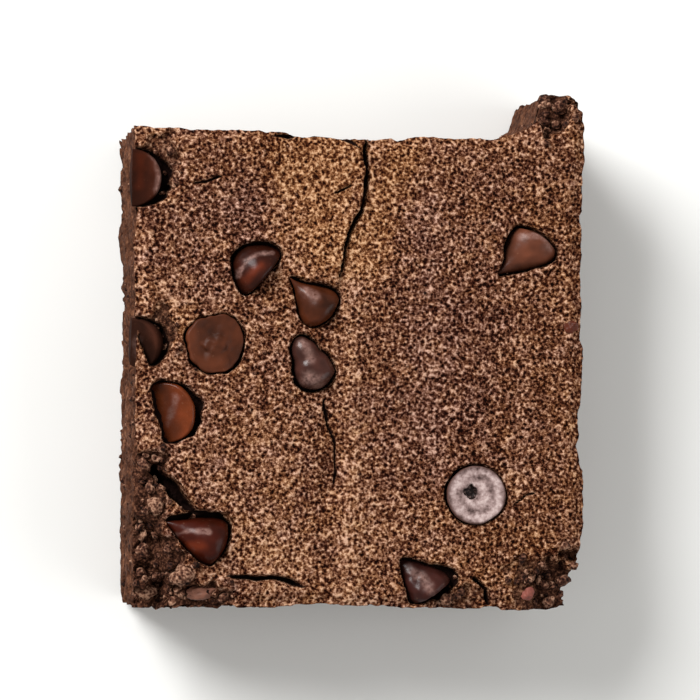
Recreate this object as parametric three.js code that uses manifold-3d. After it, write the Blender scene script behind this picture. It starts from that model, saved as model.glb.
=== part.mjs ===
// A thick square of chocolate brownie with a thin cracked crust and chocolate chips set in it.
// Millimetres, +Z up. The origin is the middle of the bounding box, on the face it rests on.
// The crust faces +Z. The knife cut the four sides, and the far right corner tore out long.
import * as THREE from "three";
import { mergeVertices } from "three/addons/utils/BufferGeometryUtils.js";
import Module from "manifold-3d";

const wasm = await Module();
wasm.setup();

// Driving dimensions of the whole piece
const WIDTH = 74.6; // left cut face to right cut face
const DEPTH = 85; // near cut face to the tip of the torn corner
const CORNER_REACH = 7; // how far the torn corner stands beyond the far cut face
const CRUST_HEIGHT = 25; // resting face to the crust, before its swells and dents
const LEFT = -WIDTH / 2;
const RIGHT = WIDTH / 2;
const NEAR = -DEPTH / 2;
const FAR = DEPTH / 2 - CORNER_REACH;

// Crumb and crust
const FACE_STEP = 2.5; // spacing of the points along the cut faces
const CRUST_STEP = 2.3; // spacing of the points over the crust
const CRUMB_DEPTH = 0.75; // deepest hollow of the cut crumb
const CRUMB_INSET = 0.25; // how far the crust's lip stands out over the crumb
const FOOT_ROUND = 0.8; // rounding round the resting face
const LIP_HEIGHT = 3.2; // height of the straight lip under the crust
const RIM_DROP = 0.7; // how far the crust sinks at its rim
const RIM_WIDTH = 2.6; // width of the strip that sinks
const SWELL = 0.4; // slow rise and fall of the crust
const SWELL_SPAN = 10; // a sixth of the length of its waves
const RIPPLE_SPAN = 6.5; // the same for the shorter waves across them
const GRAIN = 0.16; // small lumps of the crust
const GRAIN_SPACING = 2.6;
const FOOT_HEIGHT = 1.3;
const CRUMB_LEVELS = [5, 9, 13, 17, 21]; // heights at which the cut crumb's hollows change
const DENT_FLOOR = 0.55; // share of a dent's size that lies at its full depth
const DENT_EDGE = 1.25; // where it meets the crust, as a share of its size
const HEADROOM = 6; // height of cutting shapes above the crust

// Chocolate
const CHIP_RADIUS = 4.75; // base of a whole chip
const CHIP_SIDES = 14;
const CHIP_STEPS = 5; // rings between the base and the tip
const BASE_SHARES = [0, 0.55, 0.9]; // rings of the base, as shares of its radius
const BASE_EDGE = 0.08; // height of the base's edge, as a share of the chip's
const FIT = 0.32; // gap between a chip and its pocket
const MOUTH = 5; // how far a pocket is cut straight up from where the chip is widest
const UPPER = 0.25; // least upward part of a normal that counts as the chip's upper half
const CHOCOLATE = { color: 0x55301f, roughness: 0.42, metalness: 0 };
const BLOOMED = { color: 0x9f8883, roughness: 0.6, metalness: 0 };
const CAKE = { color: 0x6d4936, roughness: 0.9, metalness: 0 };

// The outline from above, counterclockwise, as the points where its edges bend
const nearFace = [[LEFT + 0.4, NEAR + 0.7], [-15, NEAR + 0.75], [-7, NEAR + 1.4], [2, NEAR + 0.75],
  [19.5, NEAR + 0.25], [31.3, NEAR]];
const brokenCorner = [[34.4, NEAR + 0.6], [33.5, NEAR + 3.5], [35, NEAR + 5.5], [36.3, NEAR + 9.8]];
const rightFace = [[36.7, -28.7], [36.8, -19.2], [36.2, -17], [36.1, -11.2], [36.9, -3.7],
  [37.1, 3.8], [36.4, 11.2], [36.8, 21.2], [36.6, 25.8], [RIGHT, 33.7]];
const tornCorner = [[36.9, FAR + 2.7], [36.3, FAR + 5.3], [34, FAR + 6.5], [30.8, FAR + CORNER_REACH],
  [29.5, FAR + 2.7], [26, FAR + 0.2]];
const farFace = [[22, FAR - 1], [9.5, FAR - 0.8], [1.5, FAR - 1.4], [-2, FAR - 1.3],
  [-15.5, FAR - 0.3], [-30.5, FAR], [LEFT + 0.1, FAR + 0.2]];
const leftFace = [[LEFT, 20], [LEFT + 0.5, 0], [LEFT + 0.2, -20]];
const corners = [nearFace, brokenCorner, rightFace, tornCorner, farFace, leftFace].flat();
const rim = [...corners, corners[0]];

// The main crack, from the far face towards the middle: the plate on its left stands higher
const mainCrack = [[1.4, FAR], [0.6, 32.7], [0.8, 29.7], [0.5, 25.7], [-0.3, 22.4], [-1.7, 19.4],
  [-3, 16.3], [-3.6, 13], [-4.2, 10.5]];
const PLATE_LIFT = 0.9;
const PLATE_WIDTH = 15;
const PLATE_END = [8, 13]; // the plate rises from nothing between these distances along Y
const valley = [[-6.4, -7.5], [-5.8, -10.7], [-4.6, -14.7], [-4.5, -19.2], [-4.8, -23]];
const VALLEY_DEPTH = 0.7;
const VALLEY_WIDTH = 2.4;

// Cracks cut into the crust: their paths, widths and depths
const cracks = [
  { path: mainCrack, width: 1.1, depth: 2.6 },
  { path: [[-15.2, FAR - 1.4], [-9, FAR - 0.7], [-3.6, FAR - 1.3], [-0.4, FAR - 2.8]], width: 0.7,
    depth: 1.3 },
  { path: valley, width: 0.5, depth: 0.8 },
  { path: [[-22, -36.4], [-18.5, -36.9], [-15, -36.5], [-12, -37.5], [-9, -38.6]], width: 0.9, depth: 2 },
  { path: [[-34.6, -18], [-33, -20.2], [-30.8, -22.2], [-28.8, -24.8]], width: 2.2, depth: 5.5 },
  { path: [[-28, 26.7], [-25.2, 27], [-22.6, 27.8]], width: 0.5, depth: 1 },
  { path: [[-4.6, 25.2], [-3.2, 25.7], [-1.6, 26.8]], width: 0.5, depth: 1 },
  { path: [[18.2, -37], [20.3, -38.7], [21, -42]], width: 0.8, depth: 1.8 },
  { path: [[24.9, -25.4], [26.6, -24.1], [28.7, -23.3]], width: 0.5, depth: 0.9 },
];

const CRACK_BACK = 3; // how far a crack's cutting wedge stands over the crust
const CRACK_END = 0.45; // width and depth of a crack at its ends, as a share of its own

// Places where the crust broke off and the crumb lies open, and the crumbs left standing in them
const dents = [
  { at: [-36.4, -36.5], size: [4.2, 8.6], depth: 3 },
  { at: [-27, -39.8], size: [6, 2.4], depth: 1.9 },
  { at: [-33.6, -18.6], size: [2, 2.4], depth: 1.6 },
  { at: [32.8, -39.6], size: [4.4, 4.6], depth: 2.8 },
  { at: [31.2, 39.4], size: [2.3, 4.4], depth: 3.2 },
  { at: [-31.5, 29.2], size: [2.6, 4.4], depth: 1.4 },
  { at: [-32.2, 1.8], size: [2, 3.2], depth: 1 },
  { at: [14.5, -39.6], size: [3, 2.2], depth: 1.2 },
  { at: [-24.6, -28], size: [4, 1.8], depth: 1.1 },
  { at: [-33.5, -26], size: [1.9, 2.6], depth: -1.3 },
  { at: [-29, -36.8], size: [1.7, 1.7], depth: -1.5 },
  { at: [-35, -39.6], size: [1.6, 1.6], depth: -1.5 },
];

// Whole and cut chips. The axis runs from the base to the tip, at a heading in the plan and a
// pitch above the level, and the tip leans across it. proud is how far the highest point stands
// over the crust, round turns a pointed drop into a dome, a higher point draws the tip out thin,
// and bulge is how far baking rounded the base out. The knife cut two chips in half.
const chips = [
  { name: "chip_cut_far_left", at: [-36.9, 27.4], radius: 4.6, height: 5.6, round: 0.3,
    heading: 10, pitch: -66, proud: 0.9, cut: true },
  { name: "chip_half_moon", at: [-17.1, 12.8], height: 5.5, round: 0.9, heading: 140,
    pitch: 6, proud: 2.3 },
  { name: "chip_teardrop", at: [-7.9, 7.5], radius: 3.7, height: 8, round: 0.1, point: 1.9,
    bulge: 1.6, heading: 136, pitch: 12, proud: 2 },
  { name: "chip_bean", at: [-8, -2.3], radius: 3.5, height: 7.6, round: 0.8, bulge: 1.8,
    heading: 117, pitch: 8, proud: 1.9 },
  { name: "chip_flat_base", at: [-24, 0.8], height: 5.6, round: 0.4, heading: 200, pitch: -85, proud: 0.6 },
  { name: "chip_cut_mid_left", at: [-35.4, 0.9], radius: 4.2, height: 5.6, round: 0.6, heading: 20,
    pitch: -40, proud: 0.9, cut: true },
  { name: "chip_tilted", at: [-31.6, -10.3], radius: 5, height: 6.2, round: 0.5, heading: 15,
    pitch: -58, proud: 1.1 },
  { name: "chip_lens", at: [-26.8, -31], radius: 3.9, height: 9, round: 0.3, point: 1.6, bulge: 1.6,
    heading: 157, pitch: 9, proud: 1.6 },
  { name: "chip_fan", at: [27.4, 16.1], radius: 4.4, height: 8.2, round: 0.05, point: 1.5, bulge: 1.5,
    lean: -3, heading: 239, pitch: 11, proud: 1.7 },
  { name: "chip_bloomed", at: [18.8, -23.6], radius: 4.85, height: 5.2, round: 0.4, heading: 300,
    pitch: -88, proud: 0.6 },
  { name: "chip_broken", at: [10.5, -37.5], radius: 4, height: 7.4, round: 0.3, bulge: 0.8, lean: 1.4,
    heading: 124, pitch: 6, proud: 1.3 },
];

// Broken bits of chocolate: half sizes along the plan's long axis, across it and upwards
const bits = [
  { name: "chip_sliver", at: [-25.4, -39.1], size: [3.2, 1.3, 1.3], heading: 8, proud: 0.9 },
  { name: "chip_bit_corner", at: [27.3, -39.6], size: [1.3, 1.1, 1], heading: 40, proud: 0.8 },
  { name: "chip_bit_right", at: [34.9, 3.8], size: [1.5, 1.4, 1.1], heading: 70, proud: 0.7 },
];

// Seeded value noise, from 0 to 1, smooth over steps of one unit
function hash(i, j, k) {
  let h = Math.imul(i, 374761393) ^ Math.imul(j, 668265263) ^ Math.imul(k, 2147483647);
  h = Math.imul(h ^ (h >>> 13), 1274126177);
  return ((h ^ (h >>> 16)) >>> 0) / 4294967296;
}

function noise(x, y, seed) {
  const i = Math.floor(x);
  const j = Math.floor(y);
  const u = THREE.MathUtils.smoothstep(x - i, 0, 1);
  const v = THREE.MathUtils.smoothstep(y - j, 0, 1);
  const near = THREE.MathUtils.lerp(hash(i, j, seed), hash(i + 1, j, seed), u);
  const far = THREE.MathUtils.lerp(hash(i, j + 1, seed), hash(i + 1, j + 1, seed), u);
  return THREE.MathUtils.lerp(near, far, v);
}

// The distance from a point to a path of straight stretches, and the path's x at a given y
function distanceTo(path, x, y) {
  const point = new THREE.Vector3(x, y, 0);
  const nearest = new THREE.Vector3();
  let least = Infinity;
  for (let i = 1; i < path.length; i++) {
    const stretch = new THREE.Line3(
      new THREE.Vector3(...path[i - 1], 0),
      new THREE.Vector3(...path[i], 0),
    );
    stretch.closestPointToPoint(point, true, nearest);
    least = Math.min(least, nearest.distanceTo(point));
  }
  return least;
}

function pathX(path, y) {
  for (let i = 1; i < path.length; i++) {
    const [x0, y0] = path[i - 1];
    const [x1, y1] = path[i];
    if (y <= y0 && y >= y1) return x0 + ((x1 - x0) * (y0 - y)) / (y0 - y1);
  }
  return path[path.length - 1][0];
}

// The height of the crust over a point of the plan
function crustHeight(x, y) {
  const { smoothstep } = THREE.MathUtils;
  let z = CRUST_HEIGHT;
  z += SWELL * Math.sin(x / SWELL_SPAN + 1.2) * Math.cos(y / SWELL_SPAN - 0.5);
  z += (SWELL / 2) * Math.sin((x + y) / RIPPLE_SPAN);
  z += GRAIN * (2 * noise(x / GRAIN_SPACING, y / GRAIN_SPACING, 3) - 1);
  z -= RIM_DROP * (1 - smoothstep(distanceTo(rim, x, y), 0, RIM_WIDTH));

  const leftOfCrack = pathX(mainCrack, y) - x;
  const alongCrack = smoothstep(y, ...PLATE_END);
  if (leftOfCrack > 0) z += PLATE_LIFT * alongCrack * (1 - smoothstep(leftOfCrack, 0, PLATE_WIDTH));

  z -= VALLEY_DEPTH * Math.exp(-((distanceTo(valley, x, y) / VALLEY_WIDTH) ** 2));
  for (const { at, size, depth } of dents) {
    const reach = Math.hypot((x - at[0]) / size[0], (y - at[1]) / size[1]);
    z -= depth * (1 - smoothstep(reach, DENT_FLOOR, DENT_EDGE));
  }
  return z;
}

// A closed mesh given by its vertices and triangles, as a solid that can be joined and cut
function solidOf(vertices, triangles) {
  return new wasm.Manifold(
    new wasm.Mesh({
      numProp: 3,
      vertProperties: new Float32Array(vertices),
      triVerts: new Uint32Array(triangles),
    }),
  );
}

// The geometry with its shared vertices merged, and without the triangles that this closes up
function merged(geometry) {
  geometry.deleteAttribute("normal");
  geometry.deleteAttribute("uv");
  const joined = mergeVertices(geometry, 1e-4);
  const index = joined.index.array;
  const triangles = [];
  for (let i = 0; i < index.length; i += 3) {
    const [a, b, c] = [index[i], index[i + 1], index[i + 2]];
    if (a !== b && b !== c && c !== a) triangles.push(a, b, c);
  }
  joined.setIndex(triangles);
  return joined;
}

// The same form with its upper half moved straight up, so that it cuts a mouth through the crust
function openedUpwards(geometry) {
  geometry.computeVertexNormals();
  const { position, normal } = geometry.attributes;
  for (let i = 0; i < position.count; i++) {
    if (normal.getZ(i) > UPPER) position.setZ(i, position.getZ(i) + MOUTH);
  }
  return geometry;
}

function solidFromGeometry(geometry) {
  return solidOf(geometry.attributes.position.array, geometry.index.array);
}

function meshOf(name, solid, look) {
  const { vertProperties, triVerts } = solid.getMesh();
  const geometry = new THREE.BufferGeometry();
  geometry.setAttribute("position", new THREE.BufferAttribute(new Float32Array(vertProperties), 3));
  geometry.setIndex(new THREE.BufferAttribute(new Uint32Array(triVerts), 1));
  geometry.computeVertexNormals();
  const mesh = new THREE.Mesh(geometry, new THREE.MeshStandardMaterial(look));
  mesh.name = name;
  return mesh;
}

// Rings of points, one above the other, closed by a flat cap at each end
function stack(rings, cap) {
  const count = rings[0].length;
  const triangles = [];
  for (let k = 1; k < rings.length; k++) {
    for (let i = 0; i < count; i++) {
      const low = (k - 1) * count;
      const high = k * count;
      const next = (i + 1) % count;
      triangles.push(low + i, low + next, high + i, low + next, high + next, high + i);
    }
  }
  const top = (rings.length - 1) * count;
  for (const [a, b, c] of cap) triangles.push(a, c, b, top + a, top + b, top + c);
  return solidOf(rings.flat().flatMap((p) => [p.x, p.y, p.z]), triangles);
}

// The outline with points all along its edges
function outlinePoints() {
  const points = [];
  corners.forEach(([x, y], i) => {
    const [nextX, nextY] = corners[(i + 1) % corners.length];
    const steps = Math.max(1, Math.round(Math.hypot(nextX - x, nextY - y) / FACE_STEP));
    for (let s = 0; s < steps; s++) {
      points.push(new THREE.Vector2(x, y).lerp(new THREE.Vector2(nextX, nextY), s / steps));
    }
  });
  return points;
}

// The block inside the cut faces: hollowed crumb, a rounded foot and a straight lip of crust
function cutBlock() {
  const outline = outlinePoints();
  const outward = outline.map((_, i) => {
    const before = outline[(i + outline.length - 1) % outline.length];
    const after = outline[(i + 1) % outline.length];
    return new THREE.Vector2(after.y - before.y, before.x - after.x).normalize();
  });
  const lip = CRUST_HEIGHT - LIP_HEIGHT;
  const levels = [0, FOOT_HEIGHT, ...CRUMB_LEVELS, lip, CRUST_HEIGHT + HEADROOM];
  const rings = levels.map((z, k) =>
    outline.map((p, i) => {
      const hollow = CRUMB_INSET + CRUMB_DEPTH * noise(i * 0.9, z * 0.35, 11) ** 1.5;
      let inset = k >= levels.length - 2 ? 0 : hollow;
      if (k === 0) inset += FOOT_ROUND;
      return new THREE.Vector3(p.x - outward[i].x * inset, p.y - outward[i].y * inset, z);
    }),
  );
  const cap = THREE.ShapeUtils.triangulateShape(outline, []);
  return stack(rings, cap);
}

// The block under the crust: a level foot and the crust's relief, wider than the cut block
function crustBlock() {
  const columns = Math.ceil((WIDTH + 4) / CRUST_STEP);
  const rows = Math.ceil((DEPTH + 4) / CRUST_STEP);
  const side = columns + 1;
  const vertices = [];
  for (const upper of [false, true]) {
    for (let j = 0; j <= rows; j++) {
      for (let i = 0; i <= columns; i++) {
        const x = (i - columns / 2) * CRUST_STEP;
        const y = (j - rows / 2) * CRUST_STEP;
        vertices.push(x, y, upper ? crustHeight(x, y) : -1);
      }
    }
  }
  const triangles = [];
  const up = side * (rows + 1);
  for (let j = 0; j < rows; j++) {
    for (let i = 0; i < columns; i++) {
      const a = j * side + i;
      const [b, c, d] = [a + 1, a + side + 1, a + side];
      triangles.push(a, c, b, a, d, c, up + a, up + b, up + c, up + a, up + c, up + d);
    }
  }
  const wall = (a, b) => triangles.push(a, b, up + b, a, up + b, up + a);
  for (let i = 0; i < columns; i++) {
    wall(i, i + 1);
    wall(rows * side + i + 1, rows * side + i);
  }
  for (let j = 0; j < rows; j++) {
    wall((j + 1) * side, j * side);
    wall(j * side + columns, (j + 1) * side + columns);
  }
  return solidOf(vertices, triangles);
}

// A wedge along a crack's path: its edge lies in the crumb, its back above the crust
function crackWedge({ path, width, depth }) {
  const rings = path.map(([x, y], i) => {
    const [ax, ay] = path[Math.max(i - 1, 0)];
    const [bx, by] = path[Math.min(i + 1, path.length - 1)];
    const across = new THREE.Vector2(by - ay, ax - bx).normalize();
    const share = i === 0 || i === path.length - 1 ? CRACK_END : 1;
    const half = (share * width * (depth + CRACK_BACK)) / depth / 2;
    const z = crustHeight(x, y);
    return [
      new THREE.Vector3(x - across.x * half, y - across.y * half, z + CRACK_BACK),
      new THREE.Vector3(x + across.x * half, y + across.y * half, z + CRACK_BACK),
      new THREE.Vector3(x, y, z - share * depth),
    ];
  });
  return stack(rings, [[0, 1, 2]]);
}

// A chip turned round its axis, with its base at the origin and its tip along +Z.
// Grown by the fit it is the pocket that the chip sits in.
function chipGeometry({ radius = CHIP_RADIUS, height, round, point = 1.4, bulge = 0, lean = 0 }, grow) {
  const wide = radius + grow;
  const tall = height + 2 * grow;
  const profile = BASE_SHARES.map(
    (share) => new THREE.Vector2(wide * share, -bulge * (1 - share * share) - grow),
  );
  for (let k = 0; k < CHIP_STEPS; k++) {
    const t = k / CHIP_STEPS;
    const drop = Math.cos((t * Math.PI) / 2) ** point;
    const dome = Math.sqrt(1 - t * t);
    const rise = Math.max(t, BASE_EDGE);
    profile.push(new THREE.Vector2(wide * THREE.MathUtils.lerp(drop, dome, round), tall * rise - grow));
  }
  profile.push(new THREE.Vector2(0, tall - grow));
  const geometry = new THREE.LatheGeometry(profile, CHIP_SIDES);
  geometry.rotateX(Math.PI / 2);
  const position = geometry.attributes.position;
  for (let i = 0; i < position.count; i++) {
    const up = Math.max(position.getZ(i), 0) / height;
    position.setY(i, position.getY(i) + lean * up * up);
  }
  return geometry;
}

// A bit broken off a chip: a faceted lump
function bitGeometry({ size }, grow) {
  const geometry = new THREE.IcosahedronGeometry(1, 1);
  const position = geometry.attributes.position;
  for (let i = 0; i < position.count; i++) {
    const p = new THREE.Vector3().fromBufferAttribute(position, i);
    const lump = 0.86 + 0.14 * Math.sin(5 * p.x + 3 * p.y) * Math.cos(4 * p.z - 2 * p.y);
    position.setXYZ(
      i,
      p.x * (size[0] * lump + grow),
      p.y * (size[1] * lump + grow),
      p.z * (size[2] * lump + grow),
    );
  }
  return geometry;
}

// A chip or bit turned to its heading and pitch
function turned(piece, make, grow) {
  const { degToRad } = THREE.MathUtils;
  const geometry = merged(make(piece, grow));
  geometry.rotateY(degToRad(90 - (piece.pitch ?? 90)));
  geometry.rotateZ(degToRad(piece.heading));
  geometry.computeBoundingBox();
  return geometry;
}

// The move that brings a turned piece to its place, with its top just over the crust
function seat(piece, make) {
  const box = turned(piece, make, 0).boundingBox;
  const middle = box.getCenter(new THREE.Vector3());
  const top = crustHeight(...piece.at) + piece.proud;
  return [piece.at[0] - middle.x, piece.at[1] - middle.y, top - box.max.z];
}

function placed(piece, make) {
  return solidFromGeometry(turned(piece, make, 0).translate(...seat(piece, make)));
}

function pocket(piece, make) {
  return solidFromGeometry(openedUpwards(turned(piece, make, FIT)).translate(...seat(piece, make)));
}

// Everything to the right of the left cut face
function insideLeftFace() {
  const block = new THREE.BoxGeometry(WIDTH, DEPTH * 2, CRUST_HEIGHT * 4);
  block.translate(LEFT + 0.1 + WIDTH / 2, 0, 0);
  return solidFromGeometry(merged(block));
}

let cake = cutBlock().intersect(crustBlock());
for (const crack of cracks) cake = cake.subtract(crackWedge(crack));

const part = new THREE.Group();
for (const chip of chips) {
  const whole = placed(chip, chipGeometry);
  const kept = chip.cut ? whole.intersect(insideLeftFace()) : whole;
  cake = cake.subtract(pocket(chip, chipGeometry));
  part.add(meshOf(chip.name, kept, chip.name === "chip_bloomed" ? BLOOMED : CHOCOLATE));
}
for (const bit of bits) {
  cake = cake.subtract(pocket(bit, bitGeometry));
  part.add(meshOf(bit.name, placed(bit, bitGeometry), CHOCOLATE));
}
part.add(meshOf("brownie", cake, CAKE));

// The frame: the middle of the box over the plan, and the resting face at zero
const box = new THREE.Box3().setFromObject(part);
const middle = box.getCenter(new THREE.Vector3());
part.position.set(-middle.x, -middle.y, -box.min.z);

export default part;
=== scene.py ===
# %% [markdown]
# # A chocolate brownie
# The real thing is a thick square of dense cake with a thin dry crust. The crust is matte and
# grainy, cracked where the cake rose, and chocolate chips lie in it with dark gaps round them.
# The solids of the frame give the true form. These cells dress that form: first the chips,
# then the crust that closes round them, the cut crumb below it, and the loose crumbs.

# %% Load the frame
import math

import bmesh
import bpy
import numpy as np
from mathutils import Matrix, Vector


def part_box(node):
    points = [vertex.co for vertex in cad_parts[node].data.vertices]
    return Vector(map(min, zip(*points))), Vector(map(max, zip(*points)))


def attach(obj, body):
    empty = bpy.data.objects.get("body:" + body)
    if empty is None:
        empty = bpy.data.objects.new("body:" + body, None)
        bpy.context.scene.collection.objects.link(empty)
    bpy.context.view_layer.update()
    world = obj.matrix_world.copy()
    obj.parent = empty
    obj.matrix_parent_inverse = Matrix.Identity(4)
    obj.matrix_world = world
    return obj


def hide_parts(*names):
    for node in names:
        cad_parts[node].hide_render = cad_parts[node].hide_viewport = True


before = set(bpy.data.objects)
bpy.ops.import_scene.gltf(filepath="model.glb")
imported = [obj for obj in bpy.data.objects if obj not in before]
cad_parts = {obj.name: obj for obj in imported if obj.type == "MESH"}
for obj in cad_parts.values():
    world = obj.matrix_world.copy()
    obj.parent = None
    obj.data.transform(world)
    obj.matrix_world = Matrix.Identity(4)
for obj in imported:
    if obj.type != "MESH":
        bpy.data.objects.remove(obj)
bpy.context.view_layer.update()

MM = 0.001  # one millimetre in the scene's metres
print("solids in the frame:", len(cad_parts))

# %% [markdown]
# ## The camera
# The photograph looks almost straight down from the left and a little from the near side, so a
# narrow strip of the left cut face shows. A camera can be turned by angles or by its own axes.
# Axes are used here, because they keep the far cut face exactly at the top of the picture.

# %% Place the camera
EYE = Vector((-0.100, -0.018, 0.580))
AIM = Vector((-0.0012, 0.0, 0.020))
PICTURE_WIDTH = 0.114  # how much of the plan the picture takes in, in m

def looking(eye, aim, top):
    """A placement whose own Z points from aim to eye, with top towards the top of the picture."""
    back = (eye - aim).normalized()
    side = top.cross(back).normalized()
    turn = Matrix((side, back.cross(side), back)).transposed()
    return Matrix.Translation(eye) @ turn.to_4x4()

lens = bpy.data.cameras.new("camera")
lens.sensor_width = 36.0
lens.lens = lens.sensor_width * (EYE - AIM).length / PICTURE_WIDTH
camera = bpy.data.objects.new("camera", lens)
bpy.context.scene.collection.objects.link(camera)
camera.matrix_world = looking(EYE, AIM, Vector((0, 1, 0)))
bpy.context.scene.camera = camera
print("lens", round(lens.lens), "mm")

# %% [markdown]
# ## Chance that repeats
# Crumb and crust are uneven at every size. A table of random heights would not fit the form, so
# each height is worked out from its place by mixing fixed random numbers at the corners of a
# grid. The same place always gives the same number, so every run makes the same cake.

# %% Noise from whole-numbered places
def chance(i, j, k, seed):
    """A fixed random number from 0 to 1 for each whole-numbered place."""
    # the large odd factors only scramble the digits
    mixed = (i * 374761393 + j * 668265263 + k * 1440662683 + seed * 974634777) & 0xFFFFFFFF
    mixed = ((mixed ^ (mixed >> 13)) * 1274126177) & 0xFFFFFFFF
    return ((mixed ^ (mixed >> 16)) & 0xFFFFFF) / 0xFFFFFF

def ease(low, high, value):
    """0 below low, 1 above high, and a smooth rise between them."""
    share = np.clip((value - low) / (high - low), 0, 1)
    return share * share * (3 - 2 * share)

def lumps(points, size, seed):
    """Smooth lumps of about that size in mm, from -1 to 1, at points given in mm."""
    place = points / size
    cell = np.floor(place).astype(np.int64)
    part = ease(0, 1, place - cell)
    total = 0
    for corner in np.ndindex(2, 2, 2):
        weight = np.prod(np.where(corner, part, 1 - part), axis=-1)
        total = total + weight * chance(*np.moveaxis(cell + corner, -1, 0), seed)
    return 2 * total - 1

def roughness_of(points, size, seed, layers=3):
    """Lumps with finer lumps on them, each layer half as large and half as high."""
    return sum(lumps(points, size / 2**k, seed + k) / 2**k for k in range(layers))

def pores(points, spacing, seed):
    """The distance to the nearest of many scattered points, as a share of their spacing."""
    place = points / spacing
    cell = np.floor(place).astype(np.int64)
    nearest = np.full(len(points), 9.0)
    for step in np.ndindex(3, 3, 3):
        home = cell + np.array(step) - 1
        axes = np.moveaxis(home, -1, 0)
        spot = home + np.stack([chance(*axes, seed + k) for k in range(3)], axis=-1)
        nearest = np.minimum(nearest, np.linalg.norm(place - spot, axis=-1))
    return nearest

def flat(x, y):
    """Plan places as points in space, for the functions above."""
    return np.stack([x, y, np.zeros_like(x)], axis=-1)

print("noise at one place:", round(float(lumps(np.array([[1.2, 3.4, 5.6]]), 2.0, 1)[0]), 4))

# %% [markdown]
# ## The outline
# The knife cut four faces. The far right corner tore out long, and the near right corner lost a
# piece. A curve drawn by hand would need handles at every bend. A list of where the edges bend, in
# mm and partly from the ends of the frame's box, is easier to check against a ruler, and the
# bends are then rounded a little by averaging.

# %% The four sides in plan
low, high = (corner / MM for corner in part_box("brownie"))
LEFT, RIGHT, NEAR = low.x, high.x, low.y
FAR = high.y - 7.0  # the torn corner reaches 7 mm further
CRUST_HEIGHT = 25.0

near_side = [(LEFT + 0.4, NEAR + 0.7), (-15, NEAR + 0.75), (-7, NEAR + 1.4), (2, NEAR + 0.75),
             (19.5, NEAR + 0.25), (31.3, NEAR), (34.4, NEAR + 0.6)]
right_side = [near_side[-1], (33.5, NEAR + 3.5), (35, NEAR + 5.5), (36.3, NEAR + 9.8), (36.7, -28.7),
              (36.8, -19.2), (36.2, -17), (36.1, -11.2), (36.9, -3.7), (37.1, 3.8), (36.4, 11.2),
              (36.8, 21.2), (36.6, 25.8), (RIGHT, 33.7), (36.9, FAR + 2.7), (36.3, FAR + 5.3)]
far_side = [(LEFT + 0.1, FAR + 0.2), (-30.5, FAR), (-15.5, FAR - 0.3), (-2, FAR - 1.3),
            (1.5, FAR - 1.4), (9.5, FAR - 0.8), (22, FAR - 1), (26, FAR + 0.2), (29.5, FAR + 2.7),
            (30.8, FAR + 7), (34, FAR + 6.5), right_side[-1]]
left_side = [near_side[0], (LEFT + 0.2, -20), (LEFT + 0.5, 0), (LEFT, 20), far_side[0]]
STEPS = 600  # places along each side
ROUNDINGS = 30  # how often each place is averaged with its neighbours

def walk(side):
    """Places along a side in equal steps, with its bends a little rounded."""
    side = np.array(side, float)
    along = np.concatenate([[0], np.cumsum(np.linalg.norm(np.diff(side, axis=0), axis=1))])
    steps = np.linspace(0, along[-1], STEPS)
    places = np.stack([np.interp(steps, along, side[:, k]) for k in (0, 1)], axis=1)
    for _ in range(ROUNDINGS):
        places[1:-1] = (places[:-2] + 2 * places[1:-1] + places[2:]) / 4
    return places

near_walk, right_walk, far_walk, left_walk = map(walk, (near_side, right_side, far_side, left_side))
print("cake", round(RIGHT - LEFT, 1), "by", round(FAR - NEAR, 1), "mm, corner to", round(high.y, 1))

# %% [markdown]
# A place in the cake is named by two shares: how far across it lies between the left and right
# faces, and how far along between the near and far ones. Plain x and y would do for the middle,
# but with shares the crust and the crumb meet in the same ragged edges, and a loop that is drawn
# further in never crosses itself.

# %% Places inside the outline
def on_side(places, share):
    """The place on a side that lies that share of the way along it."""
    steps = np.linspace(0, 1, STEPS)
    return np.stack([np.interp(share, steps, places[:, k]) for k in (0, 1)], axis=-1)

def place_in(across, along):
    """Plan places in mm from their shares across and along the cake."""
    u, v = across[..., None], along[..., None]
    sides = ((1 - u) * on_side(left_walk, along) + u * on_side(right_walk, along)
             + (1 - v) * on_side(near_walk, across) + v * on_side(far_walk, across))
    near_ends = (1 - u) * near_walk[0] + u * near_walk[-1]
    far_ends = (1 - u) * far_walk[0] + u * far_walk[-1]
    corners = (1 - v) * near_ends + v * far_ends
    return sides - corners

def rim_shares(columns, rows):
    """The shares of places round the rim, counterclockwise from the near left corner."""
    u, v = np.linspace(0, 1, columns), np.linspace(0, 1, rows)
    across = np.concatenate([u[:-1], np.ones(rows - 1), u[:0:-1], np.zeros(rows - 1)])
    along = np.concatenate([np.zeros(columns - 1), v[:-1], np.ones(columns - 1), v[:0:-1]])
    return np.stack([across, along], axis=-1)

def ring(shares, inset):
    """The loop of places that lies inset mm inside the rim."""
    inset = np.asarray(inset)[..., None] / (RIGHT - LEFT)
    return place_in(*np.moveaxis(inset + (1 - 2 * inset) * shares, -1, 0))

def outward(loop):
    """The way out of the cake at each place of a closed counterclockwise loop."""
    way = np.roll(loop, -1, axis=0) - np.roll(loop, 1, axis=0)
    out = np.stack([way[:, 1], -way[:, 0]], axis=1)
    return out / np.linalg.norm(out, axis=1, keepdims=True)

print("middle of the cake:", np.round(place_in(np.array([0.5]), np.array([0.5]))[0], 1), "mm")

# %% [markdown]
# ## From numbers to pieces
# A mesh can be modelled by hand, or its places and faces can be worked out and handed over. The
# cake is all heights over a plan, so numbers suit it. Values that a finish needs later, such as
# how open the crumb lies, are stored on the mesh beside its places.

# %% Make and hand in a piece
def store(mesh, values):
    """Stores a value for each place of a mesh, under each name."""
    for name, value in values.items():
        stored = mesh.attributes.new(name, "FLOAT", "POINT")
        stored.data.foreach_set("value", np.asarray(value, np.float32))

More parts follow.
